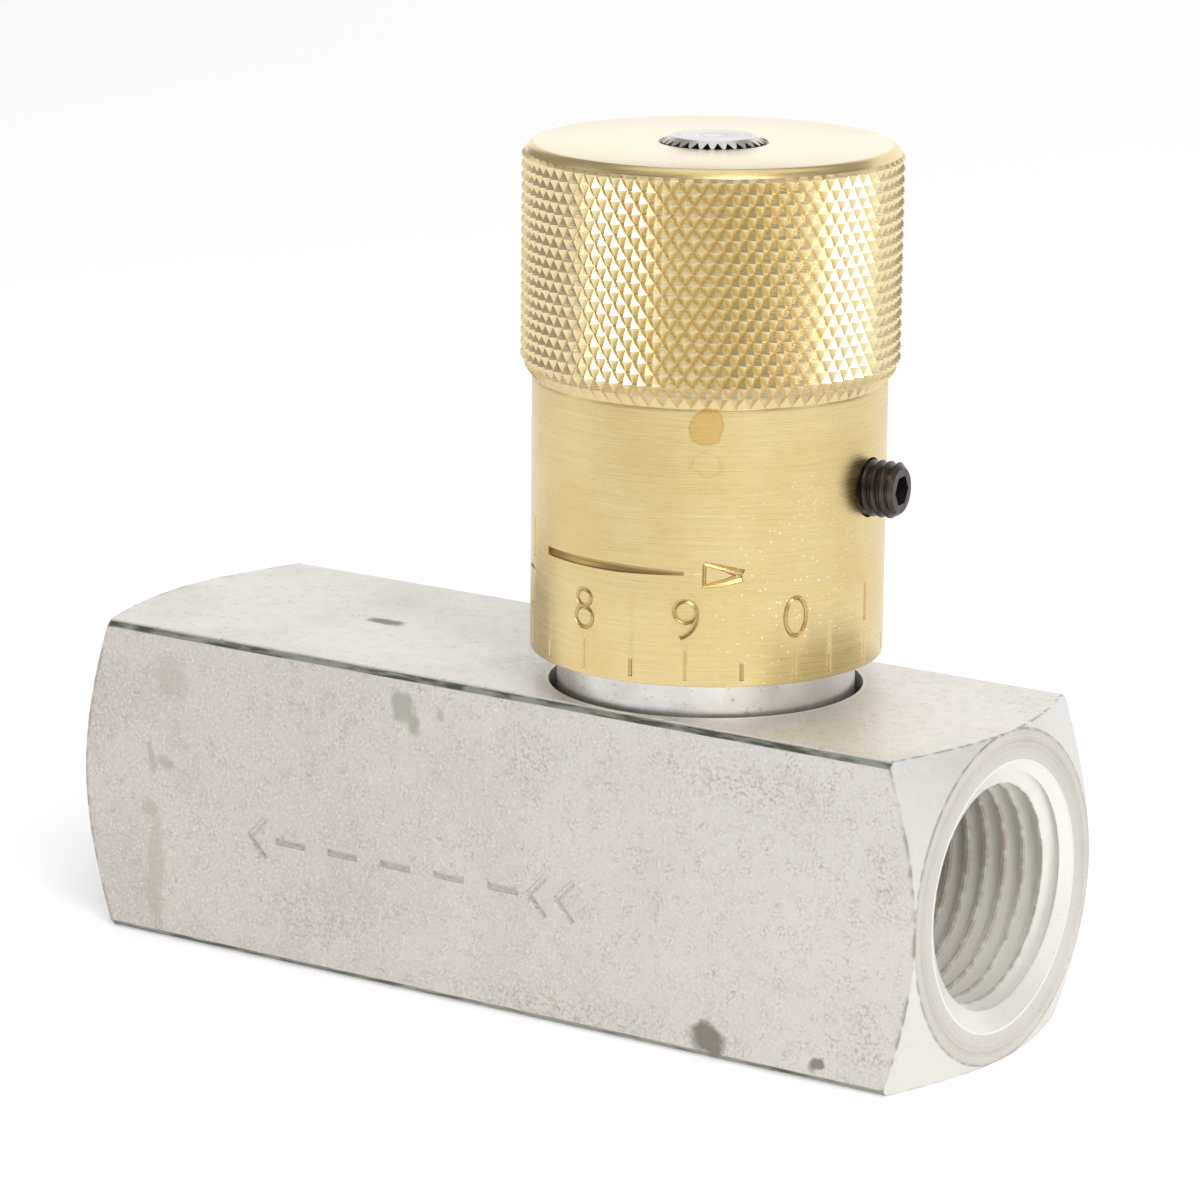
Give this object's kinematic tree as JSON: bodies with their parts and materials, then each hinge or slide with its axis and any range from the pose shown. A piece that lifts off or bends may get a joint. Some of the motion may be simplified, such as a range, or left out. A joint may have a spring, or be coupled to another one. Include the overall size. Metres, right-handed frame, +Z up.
{
  "type": "needle valve",
  "caption": "Flow-control needle valve in a square bar body with two threaded ports, a numbered brass knob and a built-in check.",
  "frame": {"origin": "centre of the body's bottom face", "axes": "+X along the body towards the port on the knob's side, +Z up along the spindle, towards the knob's top"},
  "size_m": [0.0878, 0.0324, 0.0757],
  "materials": {
    "zinc_steel": "zinc-plated, fine-grained satin with light stains",
    "bright_steel": "turned",
    "hard_steel": "ground",
    "brass": "brushed, lightly tarnished",
    "black_steel": "black oxide, oiled",
    "spring_steel": "drawn wire",
    "seal_rubber": "matte",
    "backup_plastic": "matte",
    "seal_plastic": "satin"
  },
  "bodies": {
    "valve_body": {"valve_body": "zinc_steel", "needle_seat": "hard_steel", "bonnet": "bright_steel", "bonnet_o_ring": "seal_rubber", "spring_guide": "bright_steel", "retaining_ring": "spring_steel", "check_spring": "spring_steel"},
    "stem_seals": {"stem_o_ring": "seal_rubber", "stem_backup_ring": "backup_plastic"},
    "knob_assembly": {"adjusting_knob": "brass", "needle_spindle": "bright_steel"},
    "lock_pad": {"lock_pad": "brass"},
    "lock_screw": {"lock_screw": "black_steel"},
    "check_poppet": {"check_poppet": "hard_steel", "poppet_seal": "seal_plastic", "seal_washer": "bright_steel", "seal_screw": "bright_steel"}
  },
  "joints": [
    {"name": "stem_lift", "type": "slide", "parent": "valve_body", "child": "stem_seals", "axis": [0, 0, 1], "range_m": [-0.00254, 0.00445]},
    {"name": "knob_turn", "type": "hinge", "parent": "stem_seals", "child": "knob_assembly", "pos_m": [0.01368, 0, 0.054], "axis": [0, 0, 1], "range_deg": [-720, 1260]},
    {"name": "lock_slide", "type": "slide", "parent": "knob_assembly", "child": "lock_pad", "axis": [-0.9912, -0.1323, 0], "range_m": [0, 0.00188]},
    {"name": "lock_screw_turn", "type": "hinge", "parent": "lock_pad", "child": "lock_screw", "pos_m": [0.01368, 0, 0.04703], "axis": [-0.9912, -0.1323, 0], "range_deg": [0, 852.67]},
    {"name": "check_lift", "type": "slide", "parent": "valve_body", "child": "check_poppet", "axis": [-1, 0, 0], "range_m": [0, 0.0027], "stiffness_N_per_m": 600, "springref_m": -0.0027, "deforming": ["check_spring"]}
  ],
  "couplings": [
    {"joint": "stem_lift", "follows": "knob_turn", "m_per_rad": 0.00020213},
    {"joint": "lock_screw_turn", "follows": "lock_slide", "rad_per_m": 7915.8}
  ]
}
